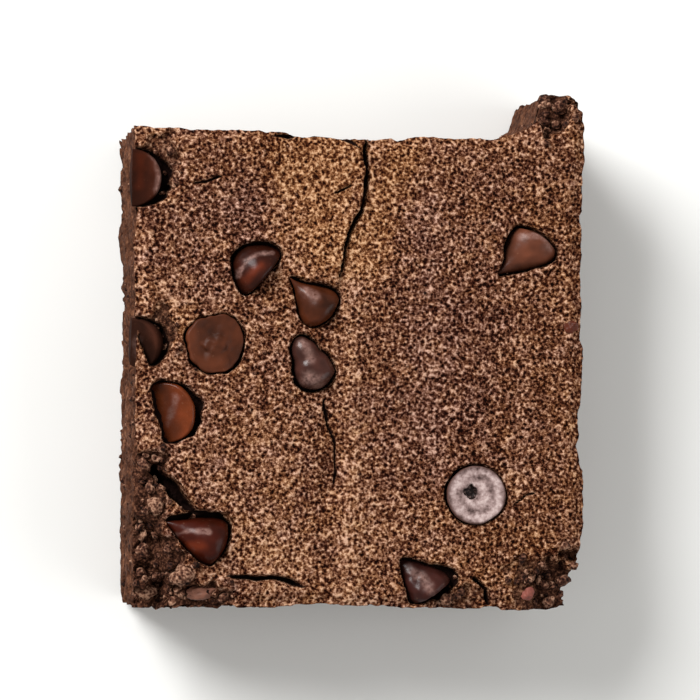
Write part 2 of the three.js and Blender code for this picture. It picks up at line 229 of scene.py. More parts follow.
def piece(name, places, faces, values=None):
    """A smooth-shaded mesh object from places in mm, with stored values if there are any."""
    mesh = bpy.data.meshes.new(name)
    mesh.from_pydata((np.asarray(places) * MM).tolist(), [], faces)
    mesh.polygons.foreach_set("use_smooth", np.ones(len(mesh.polygons), bool))
    store(mesh, values or {})
    mesh.update()
    made = bpy.data.objects.new(name, mesh)
    bpy.context.scene.collection.objects.link(made)
    return made

def hand_in(made, finish, slot, *nodes):
    """Gives the piece its finish, lets it ride with the cake and hides the solids it stands for."""
    made.data.materials.append(finish)
    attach(made, "root")
    if nodes:
        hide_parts(*nodes)
    print(made.name, len(made.data.polygons), "faces")

print("a place is given in mm and kept in metres, times", MM)

# %% [markdown]
# Most pieces here are closed forms made of loops: a top point, loops of equal count one below the
# other, and a bottom point. Blender can bridge loops too, but only two at a time and by hand.

# %% Faces between loops
def bands(loops):
    """Faces between closed counterclockwise loops of place numbers, from the top one down."""
    faces = []
    for upper, lower in zip(loops[:-1], loops[1:]):
        faces += np.stack([upper, lower, np.roll(lower, -1), np.roll(upper, -1)], -1).tolist()
    return faces

def skin(top, rings, bottom):
    """Places and faces of a closed form: a top point, loops of equal count, a bottom point."""
    rings = np.array(rings)
    count = rings.shape[1]
    loops = [1 + k * count + np.arange(count) for k in range(len(rings))]
    last = 1 + rings.shape[0] * count
    faces = [[0, int(a), int(b)] for a, b in zip(loops[0], np.roll(loops[0], -1))]
    faces += bands(loops)
    faces += [[last, int(b), int(a)] for a, b in zip(loops[-1], np.roll(loops[-1], -1))]
    return np.concatenate([[top], rings.reshape(-1, 3), [bottom]]), faces

def level(plan, z):
    """Plan places lifted to a height."""
    return np.concatenate([plan, np.broadcast_to(z, (len(plan),))[:, None]], axis=1)

print("faces between two loops of four places:", len(bands([np.arange(4), 4 + np.arange(4)])))

# %% [markdown]
# ## Chocolate chips
# A chip is a drop of chocolate: a flat base, a belly and a tip. Baking slumps it, so each one
# here has its own height, roundness and lean, and lies where the photograph shows it. A lathe
# would give all of them the same perfect skin. The rings are worked out instead, and then
# dented with noise, which gives the soft melted surface.

# %% The form of one chip
CHIP_SIDES = 84
CHIP_RINGS = 44
BASE_RINGS = 20
CROWDING = 1.15  # above 1, the rings lie closer together near the tip
WAIST_AT, WAIST_WIDTH = 0.55, 0.12  # shares of the height
BASE_HOLLOW = 0.12  # how far a flat base is drawn in, in mm
DENT_SIZE, SKIN_SIZE = 3.2, 0.9  # sizes in mm of the broad dents and of the fine ones on them
TURN = np.linspace(0, 2 * math.pi, CHIP_SIDES, endpoint=False)

def chip_form(radius, height, roundness, point, bulge, lean, waist, dents, seed):
    """Places of a chip with its base at the origin and its tip up, and its faces."""
    t = 1 - np.linspace(0, 1, CHIP_RINGS + 1)[1:] ** CROWDING
    belly = (1 - roundness) * np.cos(t * math.pi / 2) ** point + roundness * np.sqrt(1 - t * t)
    belly *= 1 - waist * np.exp(-(((t - WAIST_AT) / WAIST_WIDTH) ** 2))
    base = np.linspace(0.97, 0.06, BASE_RINGS)
    hollow = BASE_HOLLOW if bulge == 0 else 0
    # the belly ends a little above the base, which rounds the edge between them
    profile = [(radius * b, height * (s + 0.08 * (1 - s) ** 5)) for b, s in zip(belly, t)]
    profile += [(radius * s, hollow * (1 - (s / 0.9) ** 4) - bulge * (1 - s * s)) for s in base]
    rings = [level(np.stack([r * np.cos(TURN), r * np.sin(TURN)], -1), z) for r, z in profile]
    places, faces = skin((0, 0, height), rings, (0, 0, hollow - bulge))
    away = places - [0, 0, height * 0.35]
    away /= np.linalg.norm(away, axis=1, keepdims=True)
    rough = roughness_of(places, DENT_SIZE, seed) * dents
    rough = rough + lumps(places, SKIN_SIZE, seed + 9) * dents * 0.12
    places += away * (rough - dents * 0.4)[:, None]
    places[:, 1] += lean * (np.maximum(places[:, 2], 0) / height) ** 2
    return places, faces

def turned(places, heading, pitch):
    """Places turned so that the tip points along a heading in the plan, at a pitch above level."""
    tilt = Matrix.Rotation(math.radians(90 - pitch), 3, "Y")
    swing = Matrix.Rotation(math.radians(heading), 3, "Z")
    return places @ np.array(swing @ tilt).T

print("chip faces:", CHIP_SIDES * (CHIP_RINGS + BASE_RINGS))

# %% [markdown]
# Each row says how one chip lies. Copies could be moved about by hand, but a row can be set right
# one number at a time. The heading and pitch are the tip's, as in the frame. A gap is where the
# crust drew back further on one side: its heading and its extra width in mm.

# %% The chips of this brownie
CHIPS = {
    "chip_cut_far_left": dict(radius=4.6, height=5.6, roundness=0.3, heading=10, pitch=-66, gap=(0, 1.7)),
    "chip_half_moon": dict(radius=4.75, height=5.5, roundness=0.9, heading=140, pitch=6, gap=(120, 0.25)),
    "chip_teardrop": dict(radius=3.7, height=8.0, roundness=0.1, point=1.9, bulge=1.6, heading=136,
                          pitch=12, gap=(60, 0.2)),
    "chip_bean": dict(radius=3.3, height=7.6, roundness=0.8, bulge=1.8, heading=117, pitch=8,
                      waist=0.12, gap=(215, 0.6)),
    "chip_flat_base": dict(radius=4.95, height=5.6, roundness=0.4, heading=200, pitch=-85, dents=0.6,
                           gap=(330, 0.2)),
    "chip_cut_mid_left": dict(radius=4.2, height=5.6, roundness=0.6, heading=20, pitch=-40, gap=(0, 0.8)),
    "chip_tilted": dict(radius=5.0, height=6.2, roundness=0.5, heading=15, pitch=-58, gap=(10, 1.0)),
    "chip_lens": dict(radius=3.9, height=9.0, roundness=0.3, point=1.6, bulge=1.6, heading=157,
                      pitch=9, gap=(75, 1.0)),
    "chip_fan": dict(radius=4.4, height=8.2, roundness=0.05, point=1.5, bulge=1.5, lean=-3.0,
                     heading=239, pitch=11, gap=(120, 0.2)),
    "chip_bloomed": dict(radius=4.85, height=5.2, roundness=0.4, heading=300, pitch=-88, dents=0.2,
                         gap=(150, 0.15)),
    "chip_broken": dict(radius=4.0, height=7.4, roundness=0.3, bulge=0.8, lean=1.4, heading=124,
                        pitch=6, dents=0.45, gap=(350, 1.2)),
}
CUT = ("chip_cut_far_left", "chip_cut_mid_left")
print("chips:", len(CHIPS), "of them cut by the knife:", len(CUT))

# %% [markdown]
# A chip is moved until its right end, its middle and its top meet those of its solid. The crust
# has to close round what shows of it, so each chip keeps its outline from above as a reach for
# each of 72 directions. A cut with the chip's own shape would leave a perfect hole, which no cake
# has.

# %% Chips in their places
SUNK = 2.4  # the crust closes on a chip this far below its own height, in mm

def seated(places, node):
    """Moves a turned chip to its solid: the same right end, middle and top."""
    corner_low, corner_high = (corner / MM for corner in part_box(node))
    middle = (corner_low.y + corner_high.y) / 2
    ends = places.min(axis=0), places.max(axis=0)
    along = middle - (ends[0][1] + ends[1][1]) / 2
    return places + np.array([corner_high.x - ends[1][0], along, corner_high.z - ends[1][2]])

class Chip:
    """One chip in its place, and the outline of what shows of it as a reach for each direction."""
    def __init__(self, node, seed, radius, height, roundness, heading, pitch, gap,
                 point=1.4, bulge=0.0, lean=0.0, waist=0.0, dents=0.14):
        form, self.faces = chip_form(radius, height, roundness, point, bulge, lean, waist, dents, seed)
        self.node, self.gap = node, gap
        self.places = seated(turned(form, heading, pitch), node)
        shown = self.places[self.places[:, 2] > CRUST_HEIGHT - SUNK]
        self.middle = (shown[:, :2].min(axis=0) + shown[:, :2].max(axis=0)) / 2
        self.reach = self.outline(shown[:, :2] - self.middle)

    @staticmethod
    def outline(away, directions=72):
        """The greatest reach in each direction, with empty ones filled and all a little evened."""
        sector = (np.arctan2(away[:, 1], away[:, 0]) / (2 * math.pi) * directions).astype(int) % directions
        reach = np.zeros(directions)
        np.maximum.at(reach, sector, np.linalg.norm(away, axis=1))
        filled = np.flatnonzero(reach)
        reach = np.interp(np.arange(directions), filled, reach[filled], period=directions)
        return (np.roll(reach, 1) + 2 * reach + np.roll(reach, -1)) / 4

    def distance(self, x, y):
        """How far a plan place lies outside the chip, in mm, and its direction in degrees."""
        dx, dy = x - self.middle[0], y - self.middle[1]
        angle = np.degrees(np.arctan2(dy, dx)) % 360
        turns = np.arange(len(self.reach)) * 360 / len(self.reach)
        return np.hypot(dx, dy) - np.interp(angle, turns, self.reach, period=360), angle

chips = {node: Chip(node, 40 + number, **how) for number, (node, how) in enumerate(CHIPS.items())}
print("widest chip:", round(max(chip.reach.max() for chip in chips.values()) * 2, 1), "mm")

# %% [markdown]
# ## The crust
# The crust is a dry skin under a millimetre thick. Its heights follow the frame's solid: slow
# swells, the plate that lifted beside the main crack, a soft valley, and the places where it
# broke away. To these comes what is too fine for the solid: grooves round the chips, cracks that
# wander, and a grain of tiny lumps. A sculpted surface would do, but heights over a fine grid
# can be measured and stay where the frame puts them. First come the places of all this in plan.

# %% Cracks and broken places
MAIN_CRACK = [(1.4, FAR), (0.6, 32.7), (0.8, 29.7), (0.5, 25.7), (-0.3, 22.4), (-1.7, 19.4),
              (-3, 16.3), (-3.6, 13), (-4.2, 10.5)]
VALLEY = [(-6.4, -7.5), (-5.8, -10.7), (-4.6, -14.7), (-4.5, -19.2), (-4.8, -23)]
CRACKS = [  # path, width and depth in mm
    (MAIN_CRACK, 0.68, 2.4),
    ([(-15.2, FAR - 1.4), (-9, FAR - 0.7), (-3.6, FAR - 1.3), (-0.4, FAR - 2.8)], 0.6, 1.3),
    (VALLEY, 0.45, 0.9),
    ([(-22, -36.4), (-18.5, -36.9), (-15, -36.5), (-12, -37.5), (-9, -38.6)], 0.75, 2.0),
    ([(-34.6, -18), (-33, -20.2), (-30.8, -22.2), (-28.8, -24.8), (-26.8, -26.6)], 1.7, 4.6),
    ([(-28, 26.7), (-25.2, 27), (-22.6, 27.8)], 0.4, 0.9),
    ([(-4.6, 25.2), (-3.2, 25.7), (-1.6, 26.8)], 0.4, 0.9),
    ([(18.2, -37), (20.3, -38.7), (21, -42)], 0.7, 1.8),
    ([(24.9, -25.4), (26.6, -24.1), (28.7, -23.3)], 0.35, 0.8),
]
DENTS = [  # place, size and depth in mm, and how bare the crumb lies there
    ((-36.4, -36.5), (5.2, 8.8), 3.0, 1.0),
    ((-35.2, -25), (3.4, 5.6), 0.9, 0.85),
    ((-31.6, -34.6), (2.8, 4.6), 1.4, 0.9),
    ((-29.5, -38.2), (3.8, 3.2), 1.2, 0.9),
    ((-27, -39.8), (6, 2.4), 1.9, 0.9),
    ((-33.6, -18.6), (2, 2.4), 1.6, 0.8),
    ((32.8, -39.2), (4.6, 5.8), 2.6, 1.0),
    ((29.6, -37.4), (5.6, 4.6), 0.5, 0.55),
    ((31.2, 39.4), (2.3, 4.4), 3.2, 1.0),
    ((-31.7, 28.4), (2.4, 3.9), 1.1, 0.45),
    ((-32.2, 1.8), (2, 3.2), 1.0, 0.6),
    ((14.5, -40), (3, 2), 1.1, 0.4),
    ((-24.6, -28), (4, 1.8), 0.8, 0.2),
]
print("cracks:", len(CRACKS), "broken places:", len(DENTS))

# %% [markdown]
# The slow swells come first. A projection onto the solid would copy its flat facets, so the form
# is worked out again, with nearly the same sums as the solid's. The distance to a path serves the
# valley here, and the cracks and the chips' streaks later.

# %% The form of the crust
SWELL, SWELL_SPAN, RIPPLE_SPAN = 0.4, 10, 6.5  # height and spans of the swells, in mm
RIM_DROP, RIM_WIDTH = 0.7, 2.6  # how far the crust sinks at the rim, and over what width
PLATE_LIFT, PLATE_REACH = 0.9, 15  # how high the plate stands at the crack, and how far it fades
RIDGE, RIDGE_WIDTH = 0.3, 1.6  # height and half width of the ridge that runs on to the near face
VALLEY_DEPTH, VALLEY_WIDTH = 0.8, 2.4

def distance_to(path, x, y):
    """The distance from plan places to a path, and how far along it the nearest point lies."""
    best, where = np.full(x.shape, np.inf), np.zeros(x.shape)
    for number, ((x0, y0), (x1, y1)) in enumerate(zip(path[:-1], path[1:])):
        length = (x1 - x0) ** 2 + (y1 - y0) ** 2
        share = np.clip(((x - x0) * (x1 - x0) + (y - y0) * (y1 - y0)) / length, 0, 1)
        far = np.hypot(x - x0 - share * (x1 - x0), y - y0 - share * (y1 - y0))
        where = np.where(far < best, (number + share) / (len(path) - 1), where)
        best = np.minimum(best, far)
    return best, where

def form_height(x, y, edge):
    """The frame's crust height at plan places that lie edge mm inside the outline."""
    z = CRUST_HEIGHT + SWELL * np.sin(x / SWELL_SPAN + 1.2) * np.cos(y / SWELL_SPAN - 0.5)
    z = z + SWELL / 2 * np.sin((x + y) / RIPPLE_SPAN) - RIM_DROP * (1 - ease(0, RIM_WIDTH, edge))
    path = np.array(MAIN_CRACK)[::-1]
    left_of_crack = np.interp(y, path[:, 1], path[:, 0]) - x
    plate = np.where(left_of_crack > 0, 1 - ease(0, PLATE_REACH, left_of_crack), 0)
    z = z + PLATE_LIFT * ease(8, 13, y) * plate
    ridge = np.exp(-(((x + 2.0) / RIDGE_WIDTH) ** 2)) * (1 - ease(6, 11, y))
    valley = np.exp(-((distance_to(VALLEY, x, y)[0] / VALLEY_WIDTH) ** 2))
    return z + RIDGE * ridge - VALLEY_DEPTH * valley

swell = form_height(np.linspace(LEFT, RIGHT, 50), np.zeros(50), np.full(50, 30.0))
print("swell across the middle:", round(float(np.ptp(swell)), 2), "mm")

# %% [markdown]
# The finished height is that form, less the broken places, the cracks and the grooves round chips,
# plus the lips beside them and a pitted grain. Cutting each crack with a tool shape would give
# straight walls. A distance to a wandering path gives soft ones, and the same distances tell the
# finish where the crumb lies bare and where to paint shade into the depths of gaps.

# %% Heights of the crust
GROOVE_DEPTH = 1.9  # of the groove round a chip, in mm
GROOVE_WIDTH = 0.14  # its least width, in mm
CRACK_LIP, CHIP_LIP = 0.12, 0.16  # how far the crust curls up beside them, in mm
GRAIN, FINE_GRAIN = 0.11, 0.06  # heights of the grain's lumps, in mm
PIT_STEEPNESS = 0.7  # mm deeper for each spacing that a place lies inside a pit

def dent_reach(x, y, middle, size):
    """How far out of a dent a place lies: 1 at its edge. Dents run on towards the cake's outside."""
    parts = []
    for place, centre, half in zip((x, y), middle, size):
        away = (place - centre) / half
        parts.append(np.where(away * centre > 0, away * 0.55, away))
    return np.hypot(*parts)

def crust_heights(x, y, edge):
    """Heights of the finished crust, how bare the crumb lies, and how deep in a gap a place is, for the
    painted shade there.
    """
    spot = flat(x, y)
    z = form_height(x, y, edge)
    # gap holds how deep in a crack or a chip's groove a place lies, for the painted shade there
    bare, gap = np.zeros_like(z), np.zeros_like(z)
    torn = roughness_of(spot, 2.2, 70)
    for middle, size, depth, openness in DENTS:
        reach = dent_reach(x, y, middle, size) + torn * 0.3
        inside = 1 - ease(0.72, 1.08, reach)
        z = z - depth * inside
        bare = np.maximum(bare, openness * inside)
    wander_x, wander_y = (lumps(spot, 1.7, 80 + k) * 0.3 for k in (0, 1))
    for path, width, depth in CRACKS:
        far, where = distance_to(path, x + wander_x, y + wander_y)
        taper = ease(0, 0.12, where) * ease(0, 0.2, 1 - where) * 0.85 + 0.15
        half = width * taper * (0.55 + 0.2 * lumps(spot, 2.6, 90))
        groove = 1 - ease(half * 0.35, half * 1.25, far)
        lip = CRACK_LIP * np.exp(-(((far - half * 1.8) / 0.45) ** 2))
        z = z - depth * taper * groove + lip * taper
        gap = np.maximum(gap, groove * min(1, depth))
    for chip in chips.values():
        far, angle = chip.distance(x, y)
        drawn_back = np.maximum(0, np.cos(np.radians(angle - chip.gap[0]))) ** 1.5
        mouth = GROOVE_WIDTH + chip.gap[1] * drawn_back * (1 + 0.4 * torn) + 0.2 * lumps(spot, 1.3, 95)
        groove = 1 - ease(mouth - 0.22, mouth + 0.22, far)
        z = z - GROOVE_DEPTH * groove + CHIP_LIP * np.exp(-(((far - mouth - 0.7) / 0.6) ** 2))
        gap = np.maximum(gap, groove)
    grainy = 1 + 1.8 * bare
    z = z + GRAIN * roughness_of(spot, 1.5, 20) * grainy + FINE_GRAIN * lumps(spot, 0.6, 30) * grainy
    pitted = np.clip(0.34 - pores(spot, 1.9, 55), 0, 1)
    return z - PIT_STEEPNESS * pitted * (1 + 2 * bare), bare, gap

middle_height = crust_heights(np.zeros(1), np.zeros(1), np.full(1, 30.0))[0][0]
print("crust height in the middle:", round(float(middle_height), 2), "mm")

# %% [markdown]
# The crust's rim is not smooth: crumbs broke out of it. Cutting it ragged would leave odd slivers
# of faces. Instead the outer rows of the grid are drawn inwards by noise, less from row to row,
# so every face keeps four good sides.

# %% Build the crust
COLUMNS, ROWS = 262, 300
RAGGED_ROWS = 9  # how many rows of the grid take part in the ragged rim
HEM = 1.5  # least height of the crust's turned-down hem, in mm

u, v = np.meshgrid(np.linspace(0, 1, COLUMNS), np.linspace(0, 1, ROWS))
plan = place_in(u, v).reshape(-1, 2)
shares = rim_shares(COLUMNS, ROWS)
index = np.arange(COLUMNS * ROWS).reshape(ROWS, COLUMNS)
rim = np.concatenate([index[0, :-1], index[:-1, -1], index[-1, :0:-1], index[:0:-1, 0]])
rim_out = outward(plan[rim])
rim_spots = level(plan[rim], 0)
wear = 0.16 * (1 + roughness_of(rim_spots, 1.3, 11))
wear = wear + 0.55 * ease(0.25, 0.8, lumps(rim_spots, 3.1, 13))  # larger bites here and there
rim_move = -rim_out * np.maximum(wear, 0)[:, None]

moves = np.zeros((ROWS, COLUMNS, 2))
edge_move = np.zeros((ROWS * COLUMNS, 2))
edge_move[rim] = rim_move
edge_move = edge_move.reshape(ROWS, COLUMNS, 2)
for step in range(RAGGED_ROWS):
    fade = (1 - step / RAGGED_ROWS) ** 1.5
    moves[step] += edge_move[0] * fade
    moves[-1 - step] += edge_move[-1] * fade
    moves[:, step] += edge_move[:, 0] * fade
    moves[:, -1 - step] += edge_move[:, -1] * fade
moves = moves.reshape(-1, 2)
moves[rim] = rim_move
plan = plan + moves

edge = np.minimum(np.minimum(u, 1 - u) * (RIGHT - LEFT), np.minimum(v, 1 - v) * (FAR - NEAR))
edge = edge.ravel()
z, bare, gap = crust_heights(plan[:, 0], plan[:, 1], edge)
top = level(plan, z)
print("crust grid:", COLUMNS, "by", ROWS, "places, worn back by up to", round(float(wear.max()), 2), "mm")

# %% [markdown]
# Under the rim the real crust is a thin ragged hem over the crumb. An open sheet with a thickness
# added later would show its edge. Here the skin turns down, steps in, goes down behind the cut
# face and closes in ever smaller loops, so that the piece is one closed body.

# %% Close the crust below
SHELF = 16.5  # height at which the hidden part of the crust ends, in mm
hem = HEM + 0.5 * (1 + roughness_of(rim_spots, 1.6, 15))

def hem_ring(inwards, share, seed):
    """A loop that lies inwards mm inside the rim and that share of the hem's height below it."""
    places = level(plan[rim] - rim_out * inwards, z[rim] - hem * share)
    places[:, :2] += rim_out * (lumps(places, 0.9, seed) * 0.09 - 0.05)[:, None]
    return places

hem_rings = [hem_ring(0.02, 0.3, 17), hem_ring(0.14, 0.65, 18), hem_ring(0.3, 1.0, 19)]
hem_rings.append(level(ring(shares, 2.8), z[rim] - hem - 0.2))
hem_rings += [level(ring(shares, inset), SHELF) for inset in (2.9, 8, 16, 26, 34)]
middle = level(place_in(np.array([0.5]), np.array([0.5])), SHELF)
loops = [rim] + [len(top) + k * len(rim) + np.arange(len(rim)) for k in range(len(hem_rings))]
last = len(top) + len(hem_rings) * len(rim)
faces = np.stack([index[:-1, :-1], index[:-1, 1:], index[1:, 1:], index[1:, :-1]], -1)
faces = faces.reshape(-1, 4).tolist()
faces += bands(loops)
faces += [[last, int(b), int(a)] for a, b in zip(loops[-1], np.roll(loops[-1], -1))]
hem_bare = [np.maximum(bare[rim], share) for share in (0.2, 0.5, 0.8)]
hidden = (len(hem_rings) - len(hem_bare)) * len(rim) + 1  # places behind the crumb
values = {"bare": np.concatenate([bare, *hem_bare, np.ones(hidden)]),
          "gap": np.concatenate([gap, np.zeros(len(hem_bare) * len(rim) + hidden)])}
crust = piece("crust", np.concatenate([top, *hem_rings, middle]), faces, values)
print("crust height from", round(float(z.min()), 1), "to", round(float(z.max()), 1), "mm")

# %% [markdown]
# ## The cut crumb
# Below the crust the knife opened the crumb: dark, moist, torn into small hollows and pores. It
# could be a flat wall with a bump map, but its outline shows from the side, so the wall is a
# grid of its own that is drawn in where noise and pores say. Round pores all alike would look
# like cheese, so the places are warped before the pores are worked out, and some stretches are
# more open than others.

# %% How far the crumb is torn in
WALL_COLUMNS, WALL_ROWS, WALL_LEVELS = 160, 180, 56
FOOT = 1.2  # height of the rounding at the foot, in mm
TUCKED = 1.0  # how far under the crust's surface the crumb wall ends, in mm
SHALLOWEST, DEEPEST = 0.12, 2.2  # least and greatest inset of the wall, in mm

wall_shares = rim_shares(WALL_COLUMNS, WALL_ROWS)
wall_plan = ring(wall_shares, 0)
wall_top = crust_heights(*wall_plan.T, np.zeros(len(wall_plan)))[0] - TUCKED

def crumb_inset(spots):
    """How far the cut crumb lies inside the outline at places on the wall, in mm."""
    torn = 0.38 * roughness_of(spots * [1, 1, 0.8], 3.2, 120, layers=4)
    drawn = spots + 0.55 * np.stack([lumps(spots, 1.5, 121 + k) for k in range(3)], axis=1)
    open_here = 0.5 + 0.8 * ease(-0.4, 0.5, lumps(spots, 8.0, 125))
    hollow = np.clip(0.52 - pores(drawn * [1, 1, 1.3], 3.3, 130), 0, 1) * 3.3 * open_here
    small = np.clip(0.46 - pores(drawn, 1.3, 140), 0, 1) * 1.6
    foot = 0.8 * (1 - ease(0, FOOT, spots[:, 2])) ** 2
    return np.clip(0.42 + torn + hollow + small, SHALLOWEST, DEEPEST) + foot

print("crumb wall up to", round(float(wall_top.max()), 1), "mm")

# %% [markdown]
# The crumb shares its outline with the crust, stays behind the hem, rounds in at the foot and has
# a flat baked underside with faint pits. A cut through a full block of pores would be truer, but
# heavy. One closed form of loops is enough: a hidden lid, the wall, and the sole.

# %% Build the crumb
SOLE_RINGS = 54
SOLE_INSET = 36.5  # how far in from the outline the sole's last loop lies, in mm
LID_DROP = 1.5  # how far below the lowest top of the wall the lid lies, in mm
PIT_LIMIT = 0.35  # greatest depth of the sole's pits, in mm

wall_rings, wall_depths = [], []
for share in np.linspace(1, 0, WALL_LEVELS):
    spots = level(wall_plan, share * wall_top)
    wall_depths.append(crumb_inset(spots))
    wall_rings.append(level(ring(wall_shares, wall_depths[-1]), spots[:, 2]))
lid = [level(ring(wall_shares, inset), wall_top.min() - LID_DROP) for inset in (34, 20, 4.5)]
foot_inset = crumb_inset(level(wall_plan, 0))
sole = []
for share in np.linspace(0, 1, SOLE_RINGS + 2)[1:-1]:
    places = level(ring(wall_shares, foot_inset + share * (SOLE_INSET - foot_inset)), 0)
    pitted = np.clip(0.9 * (0.42 - pores(places, 2.4, 150)), 0, PIT_LIMIT)
    places[:, 2] = pitted * min(1, share * 12)  # no pits right at the edge
    sole.append(places)
centre = place_in(np.array([0.5]), np.array([0.5]))[0]
places, faces = skin((*centre, lid[0][0, 2]), lid + wall_rings + sole, (*centre, 0))
# each place's inset on the wall, for the crumb's painted shade
depths = np.full(len(places), 0.5)
first = 1 + len(lid) * len(wall_plan)
depths[first:first + len(wall_rings) * len(wall_plan)] = np.concatenate(wall_depths)
crumb = piece("crumb", places, faces, {"depth": depths})
print("crumb inset up to", round(float(depths.max()), 2), "mm")

# %% [markdown]
# ## Finishes from expressions
# A finish is a small sum over the surface: a base tone, plus grain, minus what lies in shade.
# Wiring that by hand hides the sum. The class below wraps a shader's socket so that the sum can
# be written as it is said.

# %% A value over the surface
class Value:
    """A number over the surface: Python's operators add the shader's Math nodes."""
    def __init__(self, finish, socket):
        self.finish, self.socket = finish, socket

    def maths(self, operation, *numbers):
        """One Math node; the numbers may be plain ones or values over the surface."""
        sockets = dict(enumerate(numbers))
        return self.finish.node("ShaderNodeMath", {"operation": operation}, sockets)

    def __add__(self, other):
        return self.maths("ADD", self, other)

    def __sub__(self, other):
        return self.maths("SUBTRACT", self, other)

    def __rsub__(self, other):
        return self.maths("SUBTRACT", other, self)

    def __mul__(self, other):
        return self.maths("MULTIPLY", self, other)

    __radd__ = __add__
    __rmul__ = __mul__

    def limited(self):
        """The value, held between 0 and 1."""
        return self.maths("MINIMUM", self.maths("MAXIMUM", self, 0.0), 1.0)

    def sine(self):
        return self.maths("SINE", self)

    def between(self, low, high):
        """0 below low and 1 above high, with a smooth rise between them."""
        how = {"interpolation_type": "SMOOTHSTEP"}
        sockets = {"Value": self, "From Min": low, "From Max": high}
        return self.finish.node("ShaderNodeMapRange", how, sockets)

print("values over the surface can be added, taken away and multiplied")

# %% [markdown]
# A finish is one material. Every node in it comes from one method, which takes the node's type,
# its settings and its sockets, so that no finish repeats how a node is added and linked. The
# patterns below are laid in the object's own millimetres: picture coordinates would need the
# form to be unwrapped, and would show seams on a torn cake.

# %% A finish
class Finish:
    """One material and the nodes in it."""
    def __init__(self, name):
        self.material = bpy.data.materials.new(name)
        self.material.use_nodes = True
        self.tree = self.material.node_tree
        self.tree.nodes.clear()
        place = self.node("ShaderNodeTexCoord", output="Object")
        self.mm = self.node("ShaderNodeVectorMath", {"operation": "SCALE"}, {0: place, "Scale": 1 / MM})

    def node(self, kind, settings=None, sockets=None, output=0):
        """Adds a node, applies its settings, then fills or links its sockets."""
        made = self.tree.nodes.new(kind)
        for key, value in (settings or {}).items():
            if key == "stops":
                self.set_stops(made.color_ramp, value)
            else:
                setattr(made, key, value)
        for key, value in (sockets or {}).items():
            if isinstance(value, Value):
                self.tree.links.new(value.socket, made.inputs[key])
            else:
                made.inputs[key].default_value = value
        return Value(self, made.outputs[output])

    @staticmethod
    def set_stops(ramp, stops):
        """Gives a colour ramp its stops: where each lies, from 0 to 1, and its colour."""
        while len(ramp.elements) < len(stops):
            ramp.elements.new(1.0)
        for element, (position, colour) in zip(ramp.elements, stops):
            element.position = position
            element.color = colour

    def grain(self, size, detail=2.0, rough=0.55, shift=0.0):
        """Noise with blotches of about that size in mm, from 0 to 1."""
        moved = self.node("ShaderNodeVectorMath", {"operation": "ADD"}, {0: self.mm, 1: (shift,) * 3})
        sockets = {"Vector": moved, "Scale": 0.6 / size, "Detail": detail, "Roughness": rough}
        return self.node("ShaderNodeTexNoise", sockets=sockets)

    def cells(self, size, warp=0.0):
        """Pits of about that size in mm: 0 in the middle of each and up to 1 between them."""
        sockets = {"Vector": self.mm, "Scale": 1 / size, "Detail": 2.0}
        drawn = self.node("ShaderNodeTexNoise", sockets=sockets, output="Color")
        sockets = {0: drawn, 1: (warp * size,) * 3, 2: self.mm}
        moved = self.node("ShaderNodeVectorMath", {"operation": "MULTIPLY_ADD"}, sockets)
        sockets = {"Vector": moved, "Scale": 1 / size}
        return self.node("ShaderNodeTexVoronoi", sockets=sockets, output="Distance")

    def stored(self, name):
        """A value that was stored on the mesh for each place."""
        return self.node("ShaderNodeAttribute", {"attribute_name": name}, output="Fac")

    def ramp(self, share, *stops):
        """The colour at that share of a row of stops."""
        return self.node("ShaderNodeValToRGB", {"stops": stops}, {0: share})

    def mix(self, first, second, share):
        """The first colour where share is 0, the second where it is 1."""
        return self.node("ShaderNodeMix", {"data_type": "RGBA"}, {0: share, 6: first, 7: second}, 2)

    def bump(self, height, distance):
        """Fine relief: the surface only seems that many mm higher where height is 1."""
        return self.node("ShaderNodeBump", sockets={"Height": height, "Distance": distance * MM})

    def done(self, **sockets):
        """Ends the finish with the surface shader, its sockets named with underscores."""
        named = {key.replace("_", " "): value for key, value in sockets.items()}
        surface = self.node("ShaderNodeBsdfPrincipled", sockets=named)
        end = self.tree.nodes.new("ShaderNodeOutputMaterial")
        self.tree.links.new(surface.socket, end.inputs["Surface"])
        return self.material

def paint(red, green, blue):
    """A colour as it looks on a screen, 0 to 255, turned into the light values that shaders use."""
    parts = [part / 255 for part in (red, green, blue)]
    return tuple(p / 12.92 if p <= 0.04045 else ((p + 0.055) / 1.055) ** 2.4 for p in parts) + (1.0,)

print("mid crust tone", [round(c, 3) for c in paint(109, 73, 54)[:3]])
